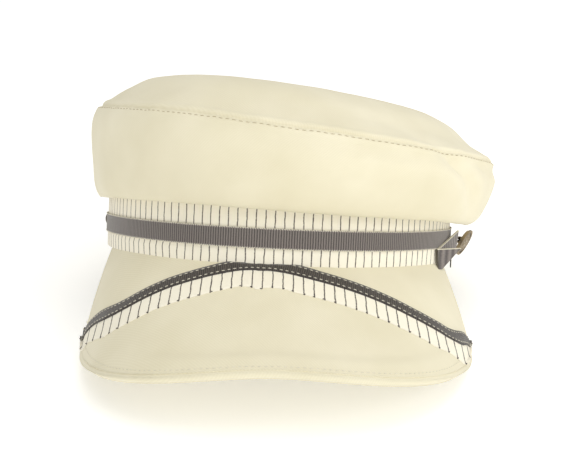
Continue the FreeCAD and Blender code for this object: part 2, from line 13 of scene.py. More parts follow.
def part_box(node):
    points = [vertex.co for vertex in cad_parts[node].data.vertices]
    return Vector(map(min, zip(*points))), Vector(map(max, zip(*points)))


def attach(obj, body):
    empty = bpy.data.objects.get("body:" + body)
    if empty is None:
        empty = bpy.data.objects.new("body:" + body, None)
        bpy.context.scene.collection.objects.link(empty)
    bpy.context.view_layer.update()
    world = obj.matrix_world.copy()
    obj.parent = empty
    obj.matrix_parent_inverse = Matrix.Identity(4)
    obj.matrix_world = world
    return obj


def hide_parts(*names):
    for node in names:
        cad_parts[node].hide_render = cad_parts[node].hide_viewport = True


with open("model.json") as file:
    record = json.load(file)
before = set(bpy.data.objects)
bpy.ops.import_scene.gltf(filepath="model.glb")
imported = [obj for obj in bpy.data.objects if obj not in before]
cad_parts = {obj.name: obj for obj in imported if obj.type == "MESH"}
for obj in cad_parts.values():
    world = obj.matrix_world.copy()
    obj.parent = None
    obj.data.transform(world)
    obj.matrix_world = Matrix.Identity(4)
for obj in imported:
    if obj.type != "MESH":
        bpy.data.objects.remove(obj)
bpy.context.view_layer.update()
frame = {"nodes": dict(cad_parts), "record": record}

# %% [markdown]
# A cap is easiest to draw square: head opening flat, front towards -Y. Afterwards it is leant onto
# the table as one. Sizes are in millimetres until these matrices turn them into metres in the row's
# frame. The peak keeps level from side to side, while the band and crown roll a little to one side.
# %% Lean the square cap onto the table
MM = 0.001
REST_TILT, REST_ROLL = math.radians(13.855), math.radians(2.65)
BAND_ORIGIN = Vector(frame["record"]["mounts"][0]["pos_m"])
LEVEL = Matrix.Translation(BAND_ORIGIN) @ Matrix.Rotation(-REST_TILT, 4, "X") @ Matrix.Scale(MM, 4)
SQUARE = LEVEL @ Matrix.Rotation(REST_ROLL, 4, "Y")
print("band origin:", [round(v, 4) for v in BAND_ORIGIN])


# %% [markdown]
# Two small helpers: one turns the hex colours of a colour chart into the linear values that shaders
# use, the other adds a node, sets it and wires it, so that a material reads as a list of its nodes.
# %% Colours and nodes
def colour(code):
    """The linear colour of an sRGB hex code."""
    parts = [int(code[start:start + 2], 16) / 255 for start in (1, 3, 5)]
    return tuple(part / 12.92 if part <= 0.04045 else ((part + 0.055) / 1.055) ** 2.4
                 for part in parts) + (1,)


def add(tree, kind, inputs, **settings):
    """Adds a node, sets its properties, and fills its sockets with values or links."""
    node = tree.nodes.new(kind)
    for name, value in settings.items():
        setattr(node, name, value)
    for socket, value in inputs.items():
        if isinstance(value, bpy.types.NodeSocket):
            tree.links.new(value, node.inputs[socket])
        else:
            node.inputs[socket].default_value = value
    return node


def new_material(name, code, roughness, **sockets):
    """A material whose shader has one colour until nodes are wired to it."""
    material = bpy.data.materials.new(name)
    material.use_nodes = True
    shader = material.node_tree.nodes["Principled BSDF"]
    shader.inputs["Base Color"].default_value = colour(code)
    shader.inputs["Roughness"].default_value = roughness
    for socket, value in sockets.items():
        shader.inputs[socket.replace("_", " ")].default_value = value
    return material, material.node_tree, shader


# %% [markdown]
# The studio is a pale floor that runs far back, a wide soft lamp overhead, a key and a low fill. The air
# itself gives most of the light, as in a light tent.
# %% Floor, lamps and camera
CAMERA_PLACE = Vector((7.785, -457.534, 151.64)) * MM + BAND_ORIGIN
CAMERA_TURN, CAMERA_LENS, CAMERA_FILM = (72.797, 0.2, 0.455), 56.407, 36
AIR_STRENGTH, FLOOR_SIZE = 0.56, 6


def link(name, data):
    made = bpy.data.objects.new(name, data)
    bpy.context.collection.objects.link(made)
    return made


def make_floor():
    bm = bmesh.new()
    bmesh.ops.create_grid(bm, x_segments=1, y_segments=1, size=FLOOR_SIZE)
    mesh = bpy.data.meshes.new("floor")
    bm.to_mesh(mesh)
    bm.free()
    material, tree, shader = new_material("paper_backdrop_painted_glow", "#FBFBFA", 0.9,
                                          Emission_Color=colour("#FFFFFF"))
    # The floor glows as painted light: weaker within 0.2 m of its middle and strongest past 0.55 m. This
    # lightens the cap's shadow on the floor and keeps the far floor white.
    place = add(tree, "ShaderNodeTexCoord", {}).outputs["Object"]
    away = add(tree, "ShaderNodeVectorMath", {0: place}, operation="LENGTH").outputs["Value"]
    glow = add(tree, "ShaderNodeMapRange",
               {"Value": away, "From Min": 0.2, "From Max": 0.55, "To Min": 0.32, "To Max": 0.5})
    tree.links.new(glow.outputs["Result"], shader.inputs["Emission Strength"])
    mesh.materials.append(material)
    link("floor", mesh)


def lamp(name, place, aim, size, watts):
    data = bpy.data.lights.new(name, "AREA")
    data.shape, data.size, data.energy = "DISK", size, watts
    made = link(name, data)
    made.location = place
    made.rotation_euler = (Vector(aim) - Vector(place)).to_track_quat("-Z", "Y").to_euler()


def make_camera():
    data = bpy.data.cameras.new("camera")
    data.lens, data.sensor_width = CAMERA_LENS, CAMERA_FILM
    camera = link("camera", data)
    camera.location = CAMERA_PLACE
    camera.rotation_euler = [math.radians(angle) for angle in CAMERA_TURN]
    bpy.context.scene.camera = camera


make_floor()
lamp("overhead", (0.15, -0.3, 1.3), (0, 0, 0.05), 1.1, 4.8)
lamp("right_key", (1.0, -0.75, 0.75), (0, 0, 0.06), 0.7, 4.4)
lamp("front_fill", (-0.1, -1.4, 0.25), (0, 0, 0.04), 0.9, 2.1)
make_camera()
world = bpy.data.worlds.new("studio_air")
bpy.context.scene.world = world
world.use_nodes = True
world.node_tree.nodes["Background"].inputs["Color"].default_value = colour("#FFFEFA")
backdrop = world.node_tree.nodes["Background"].inputs["Strength"]
seen = add(world.node_tree, "ShaderNodeLightPath", {}).outputs["Is Camera Ray"]
world.node_tree.links.new(add(world.node_tree, "ShaderNodeMapRange",
                              {"Value": seen, "To Min": AIR_STRENGTH}).outputs["Result"], backdrop)
bpy.context.scene.view_settings.view_transform = "Standard"
print("lamps:", len(bpy.data.lights))


# %% [markdown]
# The body cloth is cotton twill, a woven cloth whose weft steps over the warp so that fine ridges,
# the wales, run across it on the slant. Real wales are 0.5 mm apart, too fine to show from here, so
# they are drawn 0.9 mm apart. Cloth pieces carry a map in millimetres, so the weave follows the
# cloth round the cap, and the plain solids read their own coordinates instead.
# %% Cotton twill
WALE = 0.9


def cloth_place(tree, mapped):
    """Millimetres along and across the cloth, from its own map, or from the solid's place."""
    if mapped:
        return add(tree, "ShaderNodeUVMap", {}, uv_map="weave").outputs["UV"]
    source = add(tree, "ShaderNodeTexCoord", {}).outputs["Object"]
    return add(tree, "ShaderNodeMapping", {"Vector": source, "Scale": (1 / MM,) * 3}).outputs["Vector"]


def twill(name, dark, light, mapped):
    """Slanted wales in bump and faintly in colour, with slubs and a broad uneven shade."""
    material, tree, shader = new_material(name, light, 0.93, Sheen_Weight=0.18, Sheen_Roughness=0.6)
    place = cloth_place(tree, mapped)
    # a wave texture repeats every 2 pi / 20 of a unit over its scale
    wale = add(tree, "ShaderNodeTexWave",
               {"Vector": place, "Scale": 0.444 / WALE, "Distortion": 0.9, "Detail": 2.0,
               "Detail Scale": 0.8}, bands_direction="DIAGONAL").outputs["Fac"]
    slub = add(tree, "ShaderNodeTexNoise", {"Vector": place, "Scale": 1.1, "Detail": 3.0}).outputs["Fac"]
    shade = add(tree, "ShaderNodeTexNoise", {"Vector": place, "Scale": 0.03, "Detail": 3.0}).outputs["Fac"]
    height = add(tree, "ShaderNodeMath", {0: slub, 1: 0.7, 2: wale}, operation="MULTIPLY_ADD").outputs[0]
    bump = add(tree, "ShaderNodeBump", {"Height": height, "Strength": 0.4, "Distance": 0.06 * MM})
    tree.links.new(bump.outputs["Normal"], shader.inputs["Normal"])
    tone = add(tree, "ShaderNodeMath", {0: wale, 1: 0.15, 2: shade}, operation="MULTIPLY_ADD").outputs[0]
    ramp = add(tree, "ShaderNodeMapRange",
               {"Value": tone, "From Min": 0.3, "From Max": 0.95}).outputs["Result"]
    mixed = add(tree, "ShaderNodeMix", {0: ramp, 6: colour(dark), 7: colour(light)}, data_type="RGBA")
    tree.links.new(mixed.outputs[2], shader.inputs["Base Color"])
    return material


TWILL = twill("cotton_twill_woven", "#E2DABC", "#F0E9D0", True)
TWILL_SOLID = twill("cotton_twill_turned_under", "#E4DDC0", "#F2ECD4", False)
print("twill wales every", WALE, "mm")

# %% [markdown]
# The band and the peak's insert are pinstriped shirting: a fine plain weave with one dark thread in
# every few millimetres. The dark thread wanders a little and breaks up where it dives under.
# %% Pinstriped shirting
STRIPE_PITCH, STRIPE_WIDTH = 4.3, 0.48


def pinstripe():
    material, tree, shader = new_material("cotton_shirting_pinstriped", "#FAF4E2", 0.92, Sheen_Weight=0.1)
    place = cloth_place(tree, True)
    wander = add(tree, "ShaderNodeTexNoise", {"Vector": place, "Scale": 0.22, "Detail": 2.0}).outputs["Fac"]
    fray = add(tree, "ShaderNodeTexNoise", {"Vector": place, "Scale": 2.2, "Detail": 2.0}).outputs["Fac"]
    along = add(tree, "ShaderNodeSeparateXYZ", {0: place}).outputs["X"]
    moved = add(tree, "ShaderNodeMath", {0: wander, 1: 0.8, 2: along}, operation="MULTIPLY_ADD").outputs[0]
    moved = add(tree, "ShaderNodeMath", {0: fray, 1: 0.35, 2: moved}, operation="MULTIPLY_ADD").outputs[0]
    fold = add(tree, "ShaderNodeMath", {0: moved, 1: STRIPE_PITCH / 2}, operation="PINGPONG").outputs[0]
    line = add(tree, "ShaderNodeMapRange",
               {"Value": fold, "From Min": STRIPE_WIDTH * 0.32, "From Max": STRIPE_WIDTH * 0.72,
               "To Min": 1.0, "To Max": 0.0}).outputs["Result"]
    worn = add(tree, "ShaderNodeMapRange",
               {"Value": fray, "From Min": 0.3, "From Max": 0.5, "To Min": 0.55}).outputs["Result"]
    mask = add(tree, "ShaderNodeMath", {0: line, 1: worn}, operation="MULTIPLY").outputs[0]
    mixed = add(tree, "ShaderNodeMix", {0: mask, 6: colour("#FAF4E2"), 7: colour("#2E2027")},
                data_type="RGBA")
    tree.links.new(mixed.outputs[2], shader.inputs["Base Color"])
    weave = add(tree, "ShaderNodeTexNoise", {"Vector": place, "Scale": 2.6, "Detail": 2.0}).outputs["Fac"]
    bump = add(tree, "ShaderNodeBump", {"Height": weave, "Strength": 0.4, "Distance": 0.08 * MM})
    tree.links.new(bump.outputs["Normal"], shader.inputs["Normal"])
    return material


PINSTRIPE = pinstripe()
print("stripes every", STRIPE_PITCH, "mm")

# %% [markdown]
# Grosgrain ribbon has thick weft cords that cross it from edge to edge, and a pale looped edge.
# The tape on the peak is the same kind of weave, darker and tighter. One recipe makes both: cords
# along the map's first direction, and a pale broken line where the loops show at each edge.
# %% Grosgrain ribbon
RIBBON_LOW, RIBBON_WIDTH, TAPE_WIDTH = 7.4, 8.7, 7.0


def grosgrain(name, dark, light, edge, width, pitch, edge_width):
    material, tree, shader = new_material(name, light, 0.62, Sheen_Weight=0.3, Sheen_Roughness=0.4)
    place = cloth_place(tree, True)
    parts = add(tree, "ShaderNodeSeparateXYZ", {0: place})
    cord = add(tree, "ShaderNodeTexWave",
               {"Vector": place, "Scale": 0.314 / pitch, "Distortion": 0.5, "Detail": 1.0,
               "Detail Scale": 2.0}, bands_direction="X").outputs["Fac"]
    grain = add(tree, "ShaderNodeTexNoise", {"Vector": place, "Scale": 2.4, "Detail": 3.0}).outputs["Fac"]
    tone = add(tree, "ShaderNodeMath", {0: grain, 1: 0.9, 2: cord}, operation="MULTIPLY_ADD").outputs[0]
    ramp = add(tree, "ShaderNodeMapRange",
               {"Value": tone, "From Min": 0.35, "From Max": 1.5}).outputs["Result"]
    cloth = add(tree, "ShaderNodeMix", {0: ramp, 6: colour(dark), 7: colour(light)},
                data_type="RGBA").outputs[2]
    across = add(tree, "ShaderNodeMath", {0: parts.outputs["Y"]}, operation="ABSOLUTE").outputs[0]
    lean = add(tree, "ShaderNodeMath", {0: across, 1: 0.8, 2: parts.outputs["X"]},
               operation="MULTIPLY_ADD").outputs[0]
    loop = add(tree, "ShaderNodeMath", {0: lean, 1: 0.55}, operation="PINGPONG").outputs[0]
    near = add(tree, "ShaderNodeMapRange", {"Value": across, "From Min": width / 2 - edge_width,
               "From Max": width / 2 - edge_width * 0.4}).outputs["Result"]
    broken = add(tree, "ShaderNodeMapRange",
                 {"Value": loop, "From Min": 0.18, "From Max": 0.36}).outputs["Result"]
    mask = add(tree, "ShaderNodeMath", {0: near, 1: broken}, operation="MULTIPLY").outputs[0]
    mixed = add(tree, "ShaderNodeMix", {0: mask, 6: cloth, 7: colour(edge)}, data_type="RGBA")
    tree.links.new(mixed.outputs[2], shader.inputs["Base Color"])
    bump = add(tree, "ShaderNodeBump", {"Height": tone, "Strength": 0.7, "Distance": 0.2 * MM})
    tree.links.new(bump.outputs["Normal"], shader.inputs["Normal"])
    return material


RIBBON = grosgrain("grosgrain_ribbon_woven", "#3A3433", "#8A827D", "#D8D2C4", RIBBON_WIDTH, 1.2, 0.6)
RIBBON_FOLD = grosgrain("grosgrain_ribbon_folded_over", "#463F3D", "#857C77", "#D8D2C4", 80.0, 1.2, 0.6)
TAPE = grosgrain("petersham_tape_woven", "#1F1B1A", "#554E48", "#3A3431", TAPE_WIDTH, 0.9, 0.5)
print("ribbon cords every 1.2 mm")


# %% [markdown]
# The inside is plain: a cotton lining, a cotton sweatband, buckram stiffener and the peak's board.
# The metal is stamped brass, aged so that its hollows stay dark and its high places are rubbed
# bright. The rivet was blackened and is worn on its dome.
# %% Plain and metal finishes
def plain_weave(name, dark, light, pitch, depth, roughness=0.9):
    """Two sets of threads at right angles, which a checker of soft cells suggests."""
    material, tree, shader = new_material(name, light, roughness)
    place = cloth_place(tree, False)
    cells = add(tree, "ShaderNodeTexVoronoi",
                {"Vector": place, "Scale": 1 / pitch, "Randomness": 0.35}).outputs["Distance"]
    mixed = add(tree, "ShaderNodeMix", {0: cells, 6: colour(light), 7: colour(dark)}, data_type="RGBA")
    tree.links.new(mixed.outputs[2], shader.inputs["Base Color"])
    bump = add(tree, "ShaderNodeBump", {"Height": cells, "Strength": 0.5, "Distance": depth * MM})
    bump.invert = True
    tree.links.new(bump.outputs["Normal"], shader.inputs["Normal"])
    return material


def aged_metal(name, dark, light, roughness, hollow):
    """Brass whose hollows, read from how tightly the surface bends, keep their dark ageing."""
    material, tree, shader = new_material(name, light, roughness, Metallic=1.0)
    place = cloth_place(tree, False)
    stain = add(tree, "ShaderNodeTexNoise",
                {"Vector": place, "Scale": 0.9, "Detail": 5.0, "Roughness": 0.65}).outputs["Fac"]
    bend = add(tree, "ShaderNodeNewGeometry", {}).outputs["Pointiness"]
    worn = add(tree, "ShaderNodeMapRange",
               {"Value": bend, "From Min": 0.44, "From Max": 0.54}).outputs["Result"]
    tone = add(tree, "ShaderNodeMath", {0: stain, 1: hollow, 2: worn}, operation="MULTIPLY_ADD").outputs[0]
    ramp = add(tree, "ShaderNodeMapRange",
               {"Value": tone, "From Min": 0.35, "From Max": 1.1}).outputs["Result"]
    mixed = add(tree, "ShaderNodeMix", {0: ramp, 6: colour(dark), 7: colour(light)}, data_type="RGBA")
    tree.links.new(mixed.outputs[2], shader.inputs["Base Color"])
    rough = add(tree, "ShaderNodeMapRange",
                {"Value": stain, "To Min": roughness + 0.15, "To Max": roughness - 0.1})
    tree.links.new(rough.outputs["Result"], shader.inputs["Roughness"])
    bump = add(tree, "ShaderNodeBump", {"Height": stain, "Strength": 0.3, "Distance": 0.05 * MM})
    tree.links.new(bump.outputs["Normal"], shader.inputs["Normal"])
    return material


LINING = plain_weave("cotton_lining_plain_weave", "#C6C0AC", "#DCD7C6", 0.8, 0.06)
SWEATBAND = plain_weave("cotton_sweatband_plain_weave", "#CFC7B0", "#E6E0CE", 0.9, 0.1)
BUCKRAM = plain_weave("buckram_stiffened_open_weave", "#C9C4B4", "#E4E0D2", 1.6, 0.2)
BOARD = plain_weave("peak_board_moulded_polythene", "#CBC9C0", "#DEDCD3", 3.0, 0.03, 0.5)
BRASS = aged_metal("brass_stamped_antiqued", "#241E17", "#9E907A", 0.36, 0.6)
DARK_BRASS = aged_metal("brass_stamped_blackened", "#17130F", "#5C5142", 0.3, 0.3)
THREAD = plain_weave("cotton_thread_dark_twisted", "#2A2320", "#4A403B", 0.5, 0.1, 0.8)
PALE_THREAD = plain_weave("cotton_thread_pale_twisted", "#CFC8B2", "#F2EDDC", 0.5, 0.1, 0.8)
SEAM_THREAD = plain_weave("cotton_thread_straw_twisted", "#9C8D6C", "#C4B794", 0.5, 0.1, 0.8)
# plain weaves look matt and even, metal shows where it is rubbed, and each solid takes its slot's finish
FINISHES = {
    "cream_twill": TWILL_SOLID, "pinstripe_cloth": TWILL_SOLID, "ribbon_cloth": THREAD,
    "peak_tape_cloth": THREAD,
    "lining_cloth": LINING, "sweat_cloth": SWEATBAND, "buckram": BUCKRAM, "peak_board_plastic": BOARD,
    "antique_brass": BRASS, "dark_brass": DARK_BRASS, "sewing_thread": THREAD,
}
for entry in frame["record"]["subparts"]:
    solid = frame["nodes"][entry["node"]].data
    solid.materials.clear()
    solid.materials.append(FINISHES[entry["material_slot"]])
print("finishes:", len(bpy.data.materials))


# %% [markdown]
# Cloth on a cap runs round it, so a piece starts as a stack of ovals, bridged one to the next. Each
# row gives how far the oval stands beyond the band at the sides and at the ends, its height, its
# shift to one side and its two leans. The map in millimetres is laid on as the ovals are numbered.
# %% Ovals and finished pieces
BAND_HALF_WIDTH, BAND_HALF_LENGTH = 90.0, 99.0
AROUND = 200


def between(rows, place):
    """A row of values part of the way along a list of rows, on a smooth curve through them."""
    index = min(int(place), len(rows) - 2)
    share = place - index
    before, start, stop, after = (Vector(rows[min(max(index + step, 0), len(rows) - 1)]) for step in (-1,
            0, 1, 2))
    low, high = (stop - before) / 2, (after - start) / 2
    return (start * (1 + 2 * share) * (1 - share) ** 2 + low * share * (1 - share) ** 2
            + stop * share * share * (3 - 2 * share) + high * share * share * (share - 1))


def oval_place(row):
    side, end, height, shift, fall, rise = row
    lean = Matrix.Rotation(math.radians(fall), 4, "Y") @ Matrix.Rotation(math.radians(-rise), 4, "X")
    stretch = Matrix.Diagonal((BAND_HALF_WIDTH + side, BAND_HALF_LENGTH + end, 1, 1))
    return Matrix.Translation((shift, 0, height)) @ lean @ stretch


def oval_shell(rows):
    """Ovals bridged in turn, as a mesh with the ring and the step of each vertex in its number."""
    bm = bmesh.new()
    rings = []
    for row in rows:
        verts = bmesh.ops.create_circle(bm, segments=AROUND, radius=1, matrix=oval_place(row))["verts"]
        rings.append(list({edge for vert in verts for edge in vert.link_edges}))
    for lower, upper in zip(rings, rings[1:]):
        bmesh.ops.bridge_loops(bm, edges=lower + upper)
    bm.verts.index_update()
    bm.verts.ensure_lookup_table()
    return bm, rings


def lay_map(bm, place):
    """The map called weave: place gives the millimetres of a corner from its vertex and its face."""
    layer = bm.loops.layers.uv.new("weave")
    for face in bm.faces:
        for corner in face.loops:
            corner[layer].uv = place(corner.vert, face)


def finish_piece(name, bm, material, body, turn, replaced=(), smooth=True, keep_normals=False):
    """Makes the mesh an object at the origin, turned into the row's frame, on a body."""
    bm.transform(turn)
    if not keep_normals:
        bmesh.ops.recalc_face_normals(bm, faces=bm.faces)
    for face in bm.faces:
        face.smooth = smooth
    mesh = bpy.data.meshes.new(name)
    bm.to_mesh(mesh)
    bm.free()
    mesh.materials.append(material)
    piece = link(name, mesh)
    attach(piece, body)
    if replaced:
        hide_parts(*replaced)
    return piece


def give_wall(piece, millimetres):
    """A cloth sheet gets its thickness inwards, as a live modifier."""
    wall = piece.modifiers.new("wall", "SOLIDIFY")
    wall.thickness, wall.offset = millimetres * MM, -1


print("points round each oval:", AROUND)

# %% [markdown]
# The crown is a soft shell: side panels that swell out over the band and a flat tip sewn to them.
# It could be blown up as a simulated cloth, but the swell is even, so ovals draw it more exactly.
# Then its surface is worked: the tip seam pulls a groove and small puckers, a crease
# runs down the shoulder, and broad shallow dents show that nothing stiffens it.
# %% Rings of the crown
CROWN_SIDE = (
    (-1.6, -1.6, 30.3, 0.0, 0.0, 0.0), (1.4, 1.4, 29.4, 0.0, 0.2, 0.3), (2.4, 2.9, 24.0, 0.4, 1.8, 2.5),
    (5.9, 6.7, 20.6, 1.7, 1.8, 1.9), (11.2, 10.5, 27.4, 3.5, 2.7, 1.6), (15.7, 13.6, 46.5, 5.8, 4.1, -0.4),
    (15.2, 11.9, 55.1, 6.0, 5.3, -0.4), (13.5, 8.7, 60.4, 8.0, 5.7, -0.4),
)
CROWN_TIP = (
    (8.8, 4.5, 64.5, 8.6, 6.0, -0.7), (1.1, -3.7, 70.1, 8.1, 6.6, -0.7),
    (-10.3, -15.2, 76.7, 7.7, 6.2, -0.4),
    (-27.2, -32.3, 81.7, 7.9, 6.1, -0.9), (-52.9, -58.4, 84.4, 6.8, 6.4, -1.2),
    (-89.0, -97.9, 85.8, 6.6, 6.4, -1.2),
)
SEAM_ROW = len(CROWN_SIDE) - 1
STEPS_PER_ROW = (2, 3, 4, 5, 8, 8, 14, 12, 6, 5, 5, 5, 3)
CROWN_PLACES = [row + step / count for row, count in enumerate(STEPS_PER_ROW) for step in range(count)]
CROWN_PLACES.append(float(len(STEPS_PER_ROW)))
STEP_LENGTH = 3.27  # millimetres of cloth from one point of a ring to the next
print("crown rings:", len(CROWN_PLACES))


# %% The crown's folds
def swell(value, centre, width):
    return math.exp(-((value - centre) / width) ** 2)


def crown_fold(turn, reach, place):
    """How far the cloth stands out, at an angle off the front, a distance over the seam and a row."""
    ripple = noise.noise(Vector((turn * 9, 3.0, 0)))
    groove = -0.75 * swell(reach, 0, 0.8) + 0.3 * swell(abs(reach), 2.4, 1.2)
    pucker = 0.45 * math.sin(turn * 62 + 3 * ripple) * (0.4 + abs(ripple)) * math.exp(-abs(reach) / 6.5)
    steady = min(1, max(0, place - 2) / 2)
    dents = 1.5 * noise.noise(Vector((turn * 1.7, reach / 34, 5.2))) + 0.55 * noise.noise(Vector((turn * 5,
            reach / 13, 1.1)))
    line = turn - math.radians(40 - 0.62 * reach)
    depth = swell(reach, -14, 15)
    crease = depth * (-2.4 * swell(line, 0, 0.05) + 1.6 * swell(line, -0.13, 0.09) + 1.3 * swell(line,
            0.13, 0.07))
    shoulder = -1.7 * swell(turn, math.radians(82), 0.5) * swell(reach, 12, 14)
    middle = min(1, max(0, (12 - place) / 2.5))
    return middle * (groove + pucker + steady * (dents + crease + shoulder))


def make_crown():
    rows = CROWN_SIDE + CROWN_TIP
    bm, rings = oval_shell([between(rows, place) for place in CROWN_PLACES])
    bmesh.ops.contextual_create(bm, geom=rings[-1])
    bm.normal_update()
    bmesh.ops.recalc_face_normals(bm, faces=bm.faces)
    front = [bm.verts[ring * AROUND + AROUND // 2].co.copy() for ring in range(len(rings))]
    run = [0.0]
    for low, high in zip(front, front[1:]):
        run.append(run[-1] + (high - low).length)
    seam = run[CROWN_PLACES.index(SEAM_ROW)]
    moves = []
    for vert in bm.verts:
        ring = vert.index // AROUND
        turn = math.atan2(vert.co.x, -vert.co.y)
        moves.append(vert.normal * crown_fold(turn, run[ring] - seam, CROWN_PLACES[ring]))
    for vert, move in zip(bm.verts, moves):
        vert.co += move

    def place(vert, face):
        ring, step = divmod(vert.index, AROUND)
        if min(corner.index // AROUND for corner in face.verts) >= CROWN_PLACES.index(SEAM_ROW):
            return vert.co.x, vert.co.y
        wrapped = step == 0 and any(corner.index % AROUND == AROUND - 1 for corner in face.verts)
        return -(AROUND if wrapped else step) * STEP_LENGTH, run[ring]

    lay_map(bm, place)
    stitch_ring = CROWN_PLACES.index(SEAM_ROW) - 4
    path = [(bm.verts[stitch_ring * AROUND + step].co.copy(),
             bm.verts[stitch_ring * AROUND + step].normal.copy())
            for step in range(AROUND)]
    crown = finish_piece("crown_cloth", bm, TWILL, "cap", SQUARE,
                         ("crown_side_front", "crown_side_back", "crown_tip"))
    give_wall(crown, 0.8)
    print("crown faces:", len(crown.data.polygons), "seam at", round(seam, 1), "mm up the cloth")
    return path + path[:1]


CROWN_STITCH_PATH = make_crown()


# %% [markdown]
# Under the twill hangs a thin lining of the same form, a few millimetres smaller, so that the two
# never meet where the cloth is dented. It starts at the band's top edge and has no lip.
# %% Lining of the crown
def make_lining():
    rows = [(-2.4, -2.4, 32.2, 0.2, 0.3, 0.0), (6.0, 4.0, 36.5, 2.4, 1.2, 0.0)]
    rows += [(side - 3.6, end - 3.6, height, *leans) for side, end, height, *leans in CROWN_SIDE[5:]]
    rows += [(side - 3.6, end - 3.6, height - 3.0, *leans) for side, end, height, *leans in CROWN_TIP]
    bm, rings = oval_shell([between(rows, step / 4) for step in range(4 * (len(rows) - 1) + 1)])
    bmesh.ops.contextual_create(bm, geom=rings[-1])
    lining = finish_piece("crown_lining", bm, LINING, "cap", SQUARE, ("lining_side", "lining_tip"))
    give_wall(lining, 0.4)
    print("lining faces:", len(lining.data.polygons))


make_lining()


# %% [markdown]
# Topstitching is a row of short thread bars, each half sunk where it dives into the cloth. One bar
# is a small ball drawn out along the seam. The row follows a path of points with normals.
# %% Stitch rows
def resample(path, pitch):
    """Points with normals and headings every pitch millimetres along a path."""
    made, spare = [], 0.0
    for (start, normal), (stop, _) in zip(path, path[1:]):
        run = stop - start
        while spare < run.length:
            made.append((start + run.normalized() * spare, normal, run.normalized()))
            spare += pitch
        spare -= run.length
    return made


def stitch_row(bm, path, pitch, length, width):
    for point, normal, heading in resample(path, pitch):
        across = normal.cross(heading).normalized()
        turn = Matrix((heading, across, heading.cross(across))).transposed().to_4x4()
        size = Matrix.Diagonal((length / 2, width / 2, width / 2, 1))
        bmesh.ops.create_uvsphere(bm, u_segments=6, v_segments=5, radius=1,
                                  matrix=Matrix.Translation(point) @ turn @ size)


bm = bmesh.new()
stitch_row(bm, CROWN_STITCH_PATH, 3.0, 2.1, 0.4)
finish_piece("crown_topstitch", bm, SEAM_THREAD, "cap", SQUARE)
print("crown stitches:", len(resample(CROWN_STITCH_PATH, 3.0)))


# %% [markdown]
# The band, the ribbon and the peak's rim and underside already have their true outlines in the
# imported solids, so each is dressed from a merged copy of its solid, and gets the map that its weave
# follows. Round the band the map runs with the angle, bent a little where the cloth is puffed, so
# that the stripes bow there. On the peak it is the plan, seen from above.
# %% Dressed copies
def copy_of(node, frame_turn):
    bm = bmesh.new()
    bm.from_mesh(frame["nodes"][node].data)
    bm.transform(frame_turn.inverted())
    bmesh.ops.remove_doubles(bm, verts=bm.verts, dist=0.003)
    return bm


BAND_MEAN_RADIUS = 94.6


def round_place(vert, face):
    """Millimetres round the band and up it, from the front."""
    turn = math.atan2(vert.co.x / BAND_HALF_WIDTH, -vert.co.y / BAND_HALF_LENGTH)
    middle = face.calc_center_median()
    facing = math.atan2(middle.x / BAND_HALF_WIDTH, -middle.y / BAND_HALF_LENGTH)
    turn += 2 * math.pi * round((facing - turn) / (2 * math.pi))
    puff = 1.2 * math.sin(turn) * math.sin(math.pi * min(1, max(0, vert.co.z) / 7.4))
    lean = 1.4 * max(0, math.sin(turn)) ** 3 * max(0, vert.co.z - 16) / 6
    return turn * BAND_MEAN_RADIUS - puff - lean, vert.co.z


def plan_place(vert, face):
    return vert.co.x, vert.co.y


def dress(name, node, material, place, turn, sharp=35):
    """A merged copy of a solid with a woven map, smooth but for edges sharper than an angle."""
    bm = copy_of(node, turn)
    lay_map(bm, place)
    piece = finish_piece(name, bm, material, "cap", turn, (node,), keep_normals=True)
    piece.data.set_sharp_from_angle(angle=math.radians(sharp))
    return piece


def ribbon_place(vert, face):
    along, up = round_place(vert, face)
    return along, up - RIBBON_MIDDLE


RIBBON_MIDDLE = RIBBON_LOW + RIBBON_WIDTH / 2
dress("band_cover", "band_cloth", PINSTRIPE, round_place, SQUARE)
dress("ribbon_cover", "hat_ribbon", RIBBON, ribbon_place, SQUARE)
dress("peak_edge_roll", "peak_edge_binding", TWILL, plan_place, LEVEL, sharp=60)
dress("peak_under_cloth", "peak_underside", TWILL, plan_place, LEVEL)

# %% [markdown]
# Both edges of the ribbon are bound by small loops of pale weft, which catch the light as a fine
# saw-tooth. They are a row of tiny loops too, on the ovals that the ribbon's edges follow.
# %% Looped edges of the ribbon
def ribbon_edge(height, side):
    """A path along the ribbon's outer edge, round the front from end to end."""
    path = []
    for step in range(181):
        turn = math.radians(-93 + step * 186 / 180)
        out = Vector((math.sin(turn), -math.cos(turn), 0))
        spot = Vector((BAND_HALF_WIDTH * out.x, BAND_HALF_LENGTH * out.y, height))
        point, normal, _, _ = RIBBON_SOLID.ray_cast(spot + out * 30 + Vector((0, 0, side * -0.5)), -out)
        if point:
            path.append((Vector((point.x, point.y, height)), normal))
    return path

# %% [markdown]
# The peak's upper cloth is one piece stretched over the board, although the solids divide it where
# the insert is. A flat grid is pulled into the peak's plan, fan-wise from the band to the rim, then
# dropped onto the solids with rays and smoothed, as a cloth bridges the small steps under it.
# %% The peak's plan and surface
def surface_of(nodes, turn):
    """A tree for casting rays at solids, in the millimetres of a frame."""
    bm = bmesh.new()
    for node in nodes:
        bm.from_mesh(frame["nodes"][node].data)
    bm.transform(turn.inverted())
    tree = BVHTree.FromBMesh(bm)
    bm.free()
    return tree


PEAK_HALF_WIDTH, PEAK_WIDEST, PEAK_FRONT, PEAK_REACH = 90.2, 66.8, 157.9, 58.9
PEAK_SQUARENESS, PEAK_BLUNTNESS = 3.09, 1.57


def rim_point(turn, inset):
    """A point of the peak's outline in plan, from the angle off the front."""
    across = math.copysign(abs(math.sin(turn)) ** (2 / PEAK_SQUARENESS), turn)
    ahead = math.cos(turn) ** (2 / PEAK_BLUNTNESS)
    forward = PEAK_WIDEST + (PEAK_FRONT - PEAK_WIDEST - inset) * ahead
    return Vector(((PEAK_HALF_WIDTH - inset) * across, -forward))


